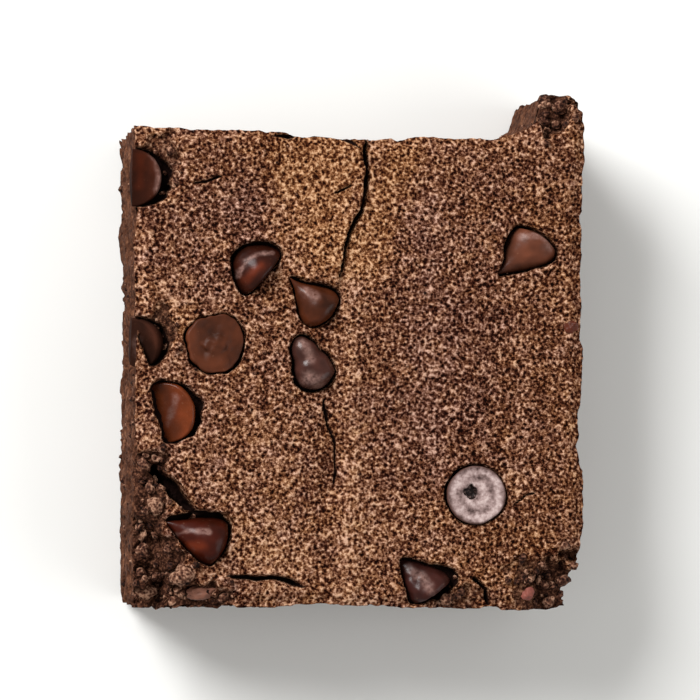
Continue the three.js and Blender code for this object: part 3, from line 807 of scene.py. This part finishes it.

# %% [markdown]
# ## The crust's finish
# Baked crust is a dull mid brown. Up close it is a grain of pale dried ridges and dark pits, under
# a millimetre across, and across the piece it drifts from golden to greyish to reddish. Noise
# could drift like that, but not in the right places. The drift is therefore a list of broad soft
# patches, stored on the mesh where the photograph has them, with faint streaks of painted light and shade
# along soft ridges.

# %% Where the crust is lighter or warmer
PATCHES = [  # plan place and reach in mm, then how much lighter and how much warmer it is
    ((-8, 29), 8, 0.34, 1.15),
    ((-5, 17), 6, 0.34, 0.7),
    ((-18, 23), 5.5, -0.16, -0.5),
    ((-29, 13), 10, 0.05, -0.2),
    ((6.2, 31.5), 3.4, 0.22, 0.75),
    ((4.8, 25), 3, 0.2, 0.65),
    ((3.2, 19), 3, 0.18, 0.6),
    ((1.2, 12.5), 3, 0.12, 0.4),
    ((14, 5), 10, 0.03, -0.4),
    ((28, 0), 14, -0.08, 0.05),
    ((-7, -30), 11, 0.25, 0.15),
    ((-18, -15), 10, 0.2, 0.0),
    ((24, -34), 10, -0.1, 0.3),
    ((34, 20), 6, -0.12, 0.25),
    ((34, -9), 6, -0.06, 0.15),
    ((-31, 5), 4, 0.12, 0.5),
    ((-20, -29), 4, 0.36, 0.2),
    ((3, -28), 4, 0.34, 0.1),
    ((-2, -6), 3, 0.32, 0.1),
    ((-14, -36), 4, 0.4, 0.1),
    ((15, -35), 3.5, 0.4, 0.2),
    ((-3, 13), 3.5, 0.24, 0.1),
    ((13, -12), 9, 0.03, -0.45),
    ((10, 22), 6, 0.0, -0.3),
    ((27, -38), 4, 0.3, 0.0),
]
PAINTED_SHADING_BANDS = [  # faint streaks of painted light and shade along soft ridges, from far to near: place across and half width in mm, how much lighter
    (-2.2, 1.4, 0.46), (-6.4, 1.6, -0.2), (3.4, 2.2, -0.12), (8.2, 1.6, -0.05), (11.6, 1.3, 0.1),
    (15.4, 1.8, -0.1), (20.6, 2.4, -0.12), (26.4, 1.6, 0.08), (31.0, 1.4, -0.1), (34.4, 1.2, 0.16),
]

def patch_values(x, y):
    """How much lighter and how much warmer the crust is at plan places, with the painted light and shade of
    the streaks.
    """
    lighter, warmer = np.zeros_like(x), np.zeros_like(x)
    wavy = x + 0.9 * lumps(flat(x, y), 9.0, 97)
    # faint streaks of painted light and shade along soft ridges
    for middle, half, light in PAINTED_SHADING_BANDS:
        lighter += light * np.exp(-(((wavy - middle) / half) ** 2)) * (1 - ease(6, 16, y) * 0.7)
    for (cx, cy), reach, light, warm in PATCHES:
        near = np.exp(-(((x - cx) ** 2 + (y - cy) ** 2) / reach**2))
        lighter += light * near
        warmer += warm * near
    return lighter, warmer

crust_co = np.array([v.co for v in crust.data.vertices]) / MM
lighter, warmer = patch_values(crust_co[:, 0], crust_co[:, 1])
store(crust.data, {"lighter": lighter, "warmer": warmer})
print("lighter from", round(float(lighter.min()), 2), "to", round(float(lighter.max()), 2))

# %% [markdown]
# The tone is one sum: pits, fine grain, two coarser grains and the drift. It picks a colour from
# two rows of stops, one greyish and one golden, and the warmth mixes the two. One row alone would
# make every dark speck the same brown. Bare crumb is far darker, and the depths of cracks and of
# chip grooves get painted shade; both come from the values on the mesh. The crust is so dry that it hardly
# shines.

# %% Crust
baked = Finish("baked_crust")
fine = baked.grain(0.3, detail=2.0, rough=0.65)
pits = baked.cells(0.62, warp=0.6)
coarse = baked.grain(1.2, detail=2.0, shift=31.0)
broad = baked.grain(7.0, detail=2.0, shift=67.0)
tone = ((pits - 0.52) * 0.92 + (fine - 0.5) * 2.25 + (coarse - 0.5) * 0.4 + (broad - 0.5) * 0.2
        + baked.stored("lighter") * 0.28 + 0.46)
greyish = baked.ramp(tone.limited(), (0.0, paint(12, 2, 1)), (0.25, paint(48, 19, 11)),
                     (0.5, paint(96, 60, 45)), (0.75, paint(147, 108, 91)), (1.0, paint(202, 162, 142)))
golden = baked.ramp(tone.limited(), (0.0, paint(14, 2, 0)), (0.25, paint(55, 22, 8)),
                    (0.5, paint(107, 65, 37)), (0.75, paint(160, 114, 79)), (1.0, paint(208, 165, 128)))
drift = (baked.grain(3.6, shift=11.0) - 0.5) * 1.2 + (baked.grain(0.8, shift=17.0) - 0.5) * 1.3
warmth = (baked.stored("warmer") * 0.9 + drift + 0.46).limited()
colour = baked.mix(greyish, golden, warmth)
moist = baked.ramp((fine * 1.5 - 0.25).limited(), (0.25, paint(20, 8, 6)), (0.55, paint(66, 39, 28)),
                   (0.85, paint(130, 88, 66)))
colour = baked.mix(colour, moist, baked.stored("bare").between(0.15, 0.7))
# painted shade in the depths of cracks and of the grooves round chips
colour = baked.mix(colour, paint(20, 9, 7), (baked.stored("gap") * 1.05).between(0.1, 0.8))
relief = baked.bump(fine * 0.6 + pits * 0.5 + coarse * 0.5, 0.3)
baked_crust = baked.done(Base_Color=colour, Roughness=0.85 - fine * 0.15, Normal=relief,
                         Specular_IOR_Level=0.03)
hand_in(crust, baked_crust, "crust", "brownie")

# %% [markdown]
# ## The crumb's finish
# Cut crumb is darker than crust and a little moist: hollows are almost black, torn edges catch
# the light. Shade alone leaves wide pores too pale, so each place on the wall has stored how deep
# it lies, and painted shade darkens the colour with that. The rest is the mottling of cocoa and a fine bump.

# %% Crumb
cut_face = Finish("cut_crumb")
fine = cut_face.grain(0.45, detail=3.0, rough=0.6)
coarse = cut_face.grain(1.8, shift=23.0)
tone = (fine - 0.5) * 1.3 + (coarse - 0.5) * 0.7 + 0.5
colour = cut_face.ramp(tone.limited(), (0.15, paint(34, 17, 11)), (0.45, paint(72, 43, 30)),
                       (0.65, paint(98, 62, 44)), (0.9, paint(134, 94, 70)))
# painted shade, darker where the wall is torn further in
colour = cut_face.mix(colour, paint(26, 12, 8), cut_face.stored("depth").between(0.5, 1.9) * 0.8)
relief = cut_face.bump(fine + coarse * 0.6, 0.4)
cut_crumb = cut_face.done(Base_Color=colour, Roughness=0.9 - fine * 0.15, Normal=relief,
                          Specular_IOR_Level=0.06)
hand_in(crumb, cut_crumb, "crumb", "brownie")

# %% [markdown]
# ## The chips' finish
# Baked chocolate is satin, not glossy: it melted and set again. Each chip differs a little in
# tone and roughness, from a milky flat base to a deep red side. Copies of one material would
# drift apart with every change, so one recipe makes them all from a few values.

# %% The recipe for chocolate
def chocolate(name, tone, rough, dusty):
    """Satin chocolate of a screen colour, softly mottled, dusted with crumb, with pale streaks of wear and
    painted highlight, painted red glints, and painted shade at its foot.
    """
    satin = Finish(name)
    soft = satin.grain(2.4, detail=2.0)
    fine = satin.grain(0.35, detail=2.0, shift=5.0)
    darker = tuple(part * 0.56 for part in tone)
    lighter = tuple(min(255, part * 1.24 + 6) for part in tone)
    colour = satin.mix(paint(*darker), paint(*lighter), (soft * 1.6 - 0.3).limited())
    # painted red glint along some streaks
    colour = satin.mix(colour, paint(116, 46, 22), satin.stored("glow") * (soft * 0.8 + 0.05).limited())
    # pale streaks, partly wear and partly painted highlight
    colour = satin.mix(colour, paint(158, 122, 112), satin.stored("worn") * (fine * 1.3 - 0.25).limited())
    dust = fine.between(0.66, 0.78) * dusty
    colour = satin.mix(colour, paint(140, 98, 74), dust)
    # painted shade on the sunk foot of each chip
    colour = satin.mix(colour, paint(*(part * 0.4 for part in tone)), satin.stored("low") * 0.7)
    relief = satin.bump(soft * 0.7 + fine * 0.12, 0.22)
    return satin.done(Base_Color=colour, Roughness=rough + dust * 0.4 + fine * 0.06, Normal=relief,
                      Specular_IOR_Level=0.24 - 0.28 * rough)

print("light values of one chocolate:", [round(part, 3) for part in paint(80, 38, 20)[:3]])

# %% [markdown]
# Paler streaks on the chips are partly wear and partly painted highlight, and red streaks on some
# edges are painted glints. Paint on each chip would need a picture for each. Here the streaks are
# short paths, and each place on a chip stores how near it lies to one, and how far it has sunk, for painted
# shade at the foot.

# %% Chips with their looks and streaks
LOOKS = {  # tone as seen on a screen, roughness and dust
    "chip_cut_far_left": ((62, 27, 16), 0.78, 0.5),
    "chip_half_moon": ((44, 14, 6), 0.3, 0.2),
    "chip_teardrop": ((68, 30, 14), 0.26, 0.2),
    "chip_bean": ((60, 33, 27), 0.19, 0.2),
    "chip_flat_base": ((80, 38, 20), 0.44, 0.25),
    "chip_cut_mid_left": ((62, 32, 22), 0.78, 0.5),
    "chip_tilted": ((102, 44, 18), 0.24, 0.35),
    "chip_lens": ((52, 13, 4), 0.29, 0.25),
    "chip_fan": ((90, 48, 32), 0.34, 0.3),
    "chip_broken": ((60, 27, 22), 0.28, 0.4),
}

STREAKS = [  # chip, whether it is wear with painted highlight or a painted red glint, then the path in plan and its width in mm
    ("chip_cut_far_left", "glow", [(-36.2, 30.8), (-36.0, 28.0), (-36.2, 25.8)], 0.9),
    ("chip_cut_far_left", "worn", [(-34.6, 32.0), (-33.5, 30.0), (-33.0, 27.6), (-33.5, 25.2)], 0.7),
    ("chip_half_moon", "glow", [(-19.0, 11.2), (-18.1, 12.4), (-16.8, 13.4)], 0.9),
    ("chip_half_moon", "worn", [(-20.5, 11.6), (-19.3, 13.9), (-17.2, 15.2), (-15.0, 15.5)], 0.45),
    ("chip_teardrop", "worn", [(-9.6, 9.4), (-8.2, 8.4)], 0.9),
    ("chip_bean", "worn", [(-10.1, 0.8), (-9.3, 0.2), (-8.6, -1.8)], 0.8),
    ("chip_bean", "worn", [(-9.0, -4.8), (-7.4, -5.6)], 1.4),
    ("chip_cut_mid_left", "worn", [(-36.3, 1.2), (-35.8, -1.2)], 0.9),
    ("chip_tilted", "glow", [(-30.5, -8.4), (-31.0, -10.6), (-32.1, -12.6)], 1.5),
    ("chip_tilted", "worn", [(-30.3, -7.8), (-30.7, -9.6), (-31.4, -11.8)], 0.7),
    ("chip_lens", "glow", [(-28.2, -31.6), (-26.4, -31.8)], 1.1),
    ("chip_lens", "worn", [(-30.4, -29.8), (-28.2, -29.2), (-25.2, -29.4)], 0.45),
    ("chip_fan", "worn", [(26.0, 18.4), (29.4, 18.6), (31.2, 16.4)], 0.7),
    ("chip_broken", "worn", [(7.9, -35.2), (8.7, -36.6)], 0.8),
    ("chip_broken", "worn", [(9.6, -36.6), (11.0, -38.8)], 0.9),
]

print("streaks:", len(STREAKS), "on", len({row[0] for row in STREAKS}), "chips")

# %% [markdown]
# The two chips at the left face were halved by the knife. Taking a block away from them could leave
# stray faces, so the mesh is cut by a plane at the end of the solid, and the cut is filled.

# %% Hand in the chips
def add_chip(chip, finish, slot, **values):
    """Hands in a chip, with stored values for its streaks and for how far each place has sunk."""
    x, y, z = chip.places.T
    for node, kind, path, width in STREAKS:
        if node == chip.node:
            away = distance_to(path, x, y)[0] + 0.3 * lumps(chip.places, 0.9, 63)
            near = 1 - ease(0, 1.3 * width, away)
            values[kind] = np.maximum(values.get(kind, 0), near)
    # how far a place has sunk below the crust, for the painted shade at the foot
    values["low"] = 1 - ease(-1.2, 0.5, z - CRUST_HEIGHT)
    made = piece(chip.node + "_chocolate", chip.places, chip.faces, values)
    if chip.node in CUT:
        cut_flat(made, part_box(chip.node)[0].x)
    hand_in(made, finish, slot, chip.node)

def cut_flat(made, x):
    """Cuts away what lies left of x, as the knife did, and closes the cut."""
    shape = bmesh.new()
    shape.from_mesh(made.data)
    everything = shape.verts[:] + shape.edges[:] + shape.faces[:]
    cut = bmesh.ops.bisect_plane(shape, geom=everything, plane_co=(x, 0, 0), plane_no=(-1, 0, 0),
                                 clear_outer=True)
    edges = [e for e in cut["geom_cut"] if isinstance(e, bmesh.types.BMEdge)]
    bmesh.ops.holes_fill(shape, edges=edges)
    shape.to_mesh(made.data)
    shape.free()

for node, look in LOOKS.items():
    add_chip(chips[node], chocolate("chocolate_" + node[5:], *look), "chocolate")

# %% [markdown]
# The bloomed chip lies base up: a pale dry bloom in rings, and a dark hole where a bubble broke. A
# painted hole would look flat from the side, so it is pressed into the mesh, off the middle, with
# a ragged edge. The distances from the hole and from the middle are stored, and the faint rings,
# the dark hole and the brown edge are worked out from them.

# %% The bloomed chip
bloomed = chips["chip_bloomed"]
HOLE = bloomed.middle + np.array([-1.2, 0.55])
HOLE_DEPTH = 1.0
from_hole = np.linalg.norm((bloomed.places[:, :2] - HOLE) * [0.9, 1.1], axis=1)
from_hole += 0.45 * roughness_of(bloomed.places, 1.0, 61)
from_middle = np.linalg.norm(bloomed.places[:, :2] - bloomed.middle, axis=1)
upper = bloomed.places[:, 2] > bloomed.places[:, 2].max() - 1.2
bloomed.places[:, 2] -= np.where(upper, HOLE_DEPTH * (1 - ease(0.6, 1.2, from_hole)), 0)

pale = Finish("bloomed_chocolate")
wavering = pale.stored("from_middle") * 2.9 + pale.grain(1.5) * 7.0
rings = wavering.sine()
patchy = pale.grain(1.0, detail=3.0, shift=9.0)
speck = pale.grain(0.3, detail=2.0, shift=3.0)
tone = (patchy - 0.5) * 1.0 + (speck - 0.5) * 0.9 + rings * 0.19 + 0.54
colour = pale.ramp(tone.limited(), (0.1, paint(62, 42, 38)), (0.34, paint(116, 94, 90)),
                   (0.6, paint(155, 131, 127)), (0.95, paint(200, 179, 174)))
colour = pale.mix(colour, paint(78, 50, 42), pale.stored("from_middle").between(4.25, 4.85))
in_hole = 1 - (pale.stored("from_hole") + (patchy - 0.5) * 0.6).between(0.95, 1.3)
floor_of_hole = pale.mix(paint(24, 10, 8), paint(120, 96, 90), speck.between(0.52, 0.7))
colour = pale.mix(colour, floor_of_hole, in_hole)
relief = pale.bump(patchy * 0.6 + speck * 0.3 + rings * 0.06, 0.2)
dull = pale.done(Base_Color=colour, Roughness=0.62, Normal=relief, Specular_IOR_Level=0.3)
add_chip(bloomed, dull, "bloomed_chocolate", from_hole=from_hole, from_middle=from_middle)

# %% [markdown]
# ## Broken bits
# Three bits of broken chip lie near the edges. Each could be cut from a whole chip, but so little
# of it shows that a craggy lump does as well: a ball of many small faces is chipped flat on a few
# sides and broken up by noise. That suits crumbs too, so both come from one form.

# %% Craggy lumps
FACETS = 9  # how many sides are chipped flat
FLAT_AT = 0.74  # how far from the middle they lie, as a share of the ball's radius

def ball(subdivisions):
    """Places and faces of a ball of radius 1 made of even triangles."""
    shape = bmesh.new()
    bmesh.ops.create_icosphere(shape, subdivisions=subdivisions, radius=1.0)
    places = np.array([v.co for v in shape.verts])
    faces = [[v.index for v in f.verts] for f in shape.faces]
    shape.free()
    return places, faces

def craggy(form, size, heading, seed, rough):
    """The ball stretched to a size in mm, turned in plan, chipped flat and broken up by noise."""
    facets = np.random.default_rng(seed).normal(size=(FACETS, 3))
    facets /= np.linalg.norm(facets, axis=1, keepdims=True)
    flats = np.minimum(1, FLAT_AT / np.maximum(form @ facets.T, 0.01)).min(axis=1)
    lumpy = form * (flats + rough * roughness_of(form * 2 + seed * 7.3, 1.3, seed, layers=4))[:, None]
    return turned(lumpy * size, heading, 90)

fine_ball = ball(4)
BITS = {  # half sizes in mm, heading and tone
    "chip_sliver": ((3.2, 1.3, 1.3), 8, (128, 84, 68)),
    "chip_bit_corner": ((1.3, 1.1, 1.0), 40, (124, 70, 60)),
    "chip_bit_right": ((1.5, 1.4, 1.1), 70, (96, 44, 28)),
}
for number, (node, (size, heading, tone)) in enumerate(BITS.items()):
    places = seated(craggy(fine_ball[0], np.array(size) * 0.92, heading, 200 + number, 0.2), node)
    made = piece(node + "_chocolate", places, fine_ball[1])
    hand_in(made, chocolate("chocolate_" + node[5:], tone, 0.4, 0.5), "chocolate", node)

# %% [markdown]
# ## Loose crumbs
# Cutting leaves crumbs: on the broken corners, along the edges and clinging to the cut faces.
# A particle system could strew them, but each would be a piece of its own, so all are joined into
# one mesh, with a stored tone each. A crumb that would reach past the frame's box is moved in.

# %% A crumb
dice = np.random.default_rng(7)
small_ball = ball(2)
crumb_places, crumb_faces, crumb_tones = [], [], []

def lay_crumb(spot, size, tone):
    """Adds a crumb of that half size at a place, all in mm, with a tone from 0 to 1."""
    seed = 300 + len(crumb_places)
    stretch = size * dice.uniform(0.65, 1.25, 3)
    places = craggy(small_ball[0], stretch, dice.uniform(0, 360), seed, 0.3) + spot
    places -= np.maximum(places.max(axis=0) - np.array(high), 0)
    places += np.maximum(np.array(low) - places.min(axis=0), 0)
    first = len(crumb_places) * len(small_ball[0])
    crumb_places.append(places)
    crumb_faces.extend([[first + n for n in face] for face in small_ball[1]])
    crumb_tones.append(np.full(len(places), tone))

def on_crust(x, y):
    """A plan place at the finished crust's height."""
    nearest = np.argmin((top[:, 0] - x) ** 2 + (top[:, 1] - y) ** 2)
    return top[nearest]

print("faces of one crumb:", len(small_ball[1]))

# %% [markdown]
# The largest crumbs are placed one by one, where the photograph shows lumps in the broken corners.
# The rest are laid by seeded chance: thick where the crust is broken, on the cut faces, and a few
# on the crust.

# %% Lay the crumbs
CRUMBS_IN_DENT = 6.5  # for each mm of a dent's mean half size, where the crumb is wholly bare
CRUMBS_ON_WALL = 230
CRUMBS_ON_CRUST = 70

CHUNKS = [  # place and half size in mm, and tone, of the large crumbs in the broken corners
    (-29.2, -36.4, 1.9, 0.75), (-35.0, -39.3, 2.0, 0.85), (-33.5, -25.1, 1.4, 0.85), (-34.4, -22.3, 1.1, 0.6),
    (-32.6, -40.6, 1.2, 0.5), (-35.6, -36.2, 1.3, 0.5), (-33.0, -36.6, 1.0, 0.35), (-34.9, -32.6, 1.4, 0.45),
    (-33.2, -29.8, 1.0, 0.65), (-35.7, -28.6, 1.1, 0.4), (-22.6, -39.9, 1.2, 0.5), (-30.4, -40.6, 0.9, 0.6),
    (-35.3, -18.6, 1.1, 0.55), (30.6, -38.4, 1.2, 0.5), (33.6, -37.4, 1.3, 0.4), (31.4, -41.0, 1.0, 0.55),
    (35.0, -35.2, 1.0, 0.6), (28.9, -41.0, 0.8, 0.45), (31.0, 41.0, 1.1, 0.4), (33.6, 39.8, 1.2, 0.35),
    (30.9, 37.6, 1.0, 0.3), (33.0, 37.0, 0.8, 0.5), (35.2, 38.0, 0.9, 0.6), (-31.2, 31.6, 0.9, 0.5),
    (-30.3, 26.6, 0.8, 0.6), (14.0, -40.4, 1.0, 0.55), (16.4, -39.2, 0.8, 0.4), (-33.4, 3.2, 0.8, 0.45),
]
for x, y, size, tone in CHUNKS:
    lay_crumb(on_crust(x, y) + [0, 0, size * 0.3], size, tone)

for (cx, cy), (sx, sy), depth, openness in DENTS:
    for _ in range(int(CRUMBS_IN_DENT * openness * math.sqrt(sx * sy))):
        x, y = dice.normal((cx, cy), (sx * 0.5, sy * 0.5))
        if LEFT + 1 < x < RIGHT - 1 and NEAR + 1.5 < y < high.y - 1.5:
            size = dice.uniform(0.25, 0.8)
            lay_crumb(on_crust(x, y) + [0, 0, size * 0.35], size, dice.uniform(0, 1))

for _ in range(CRUMBS_ON_WALL):
    place = dice.integers(len(wall_plan))
    row = int(WALL_LEVELS * dice.uniform(0.06, 0.96))
    size = dice.uniform(0.2, 0.62)
    lay_crumb(wall_rings[row][place], size, dice.uniform(0, 0.7))

for _ in range(CRUMBS_ON_CRUST):
    x, y = dice.uniform(LEFT + 2, RIGHT - 2), dice.uniform(NEAR + 2, FAR - 2)
    size = dice.uniform(0.15, 0.34)
    lay_crumb(on_crust(x, y) + [0, 0, size * 0.3], size, dice.uniform(0.3, 1))

tones = {"tone": np.concatenate(crumb_tones)}
crumbs = piece("crumbs", np.concatenate(crumb_places), crumb_faces, tones)
print("crumbs:", len(crumb_places))

# %% [markdown]
# Some crumbs are bits of pale crust and some are dark inner crumb. A material each would be many
# to keep alike. One finish reads each crumb's stored tone and adds the same grain to all.

# %% Crumbs
crumbly = Finish("loose_crumbs")
fine = crumbly.grain(0.4, detail=3.0)
pits = crumbly.cells(0.5, warp=0.6)
shade = (crumbly.stored("tone") * 0.75 + (fine - 0.5) * 2.0 + (pits - 0.52) * 1.0 + 0.1).limited()
colour = crumbly.ramp(shade, (0.0, paint(22, 8, 5)), (0.35, paint(64, 35, 24)),
                      (0.65, paint(108, 72, 55)), (1.0, paint(170, 130, 106)))
relief = crumbly.bump(fine + pits * 0.6, 0.25)
loose_crumbs = crumbly.done(Base_Color=colour, Roughness=0.85 - fine * 0.1, Normal=relief,
                            Specular_IOR_Level=0.12)
hand_in(crumbs, loose_crumbs, "crumb")

# %% [markdown]
# ## Floor and light
# The brownie lies on a plain pale floor. Soft light comes from a large lamp at the upper left,
# as the glints on the chips show, with a weaker one opposite and a pale room all round. A single
# hard lamp would make the grain look like gravel.

# %% Stage
def lamp(name, place, size, power):
    """A square area lamp turned towards the cake: place and size in m, power in W."""
    light = bpy.data.lights.new(name, "AREA")
    light.size = size
    light.energy = power
    made = bpy.data.objects.new(name, light)
    bpy.context.scene.collection.objects.link(made)
    made.matrix_world = looking(Vector(place), Vector((0, 0, 0.02)), Vector((0.1, 1, 0.1)))

lamp("lamp_upper_left", (-0.48, 0.44, 0.50), size=0.35, power=8.6)
lamp("lamp_right", (0.6, -0.2, 0.5), size=0.6, power=1.9)
world = bpy.data.worlds.new("pale_room")
world.use_nodes = True
room = world.node_tree.nodes["Background"].inputs
room["Color"].default_value = (1.0, 0.99, 0.97, 1.0)
room["Strength"].default_value = 0.41
bpy.context.scene.world = world
bpy.context.scene.view_settings.view_transform = "Standard"

FLOOR_HALF = 1500  # mm
FLOOR_HEIGHT = -0.05  # mm: a hair below the sole, so that the two never lie in one plane
square = [(-1, -1), (1, -1), (1, 1), (-1, 1)]
floor = piece("floor", level(np.array(square) * FLOOR_HALF, FLOOR_HEIGHT), [[0, 1, 2, 3]])
ground = Finish("pale_floor")
colour = ground.mix(paint(236, 236, 233), paint(242, 242, 240), ground.grain(30.0))
floor.data.materials.append(ground.done(Base_Color=colour, Roughness=0.9))
print("stage set")

# %% [markdown]
# ## Finish
# The frame's box was measured before anything was dressed, and a crumb that would reach past it
# was moved in when it was laid.

print("the cake is dressed")
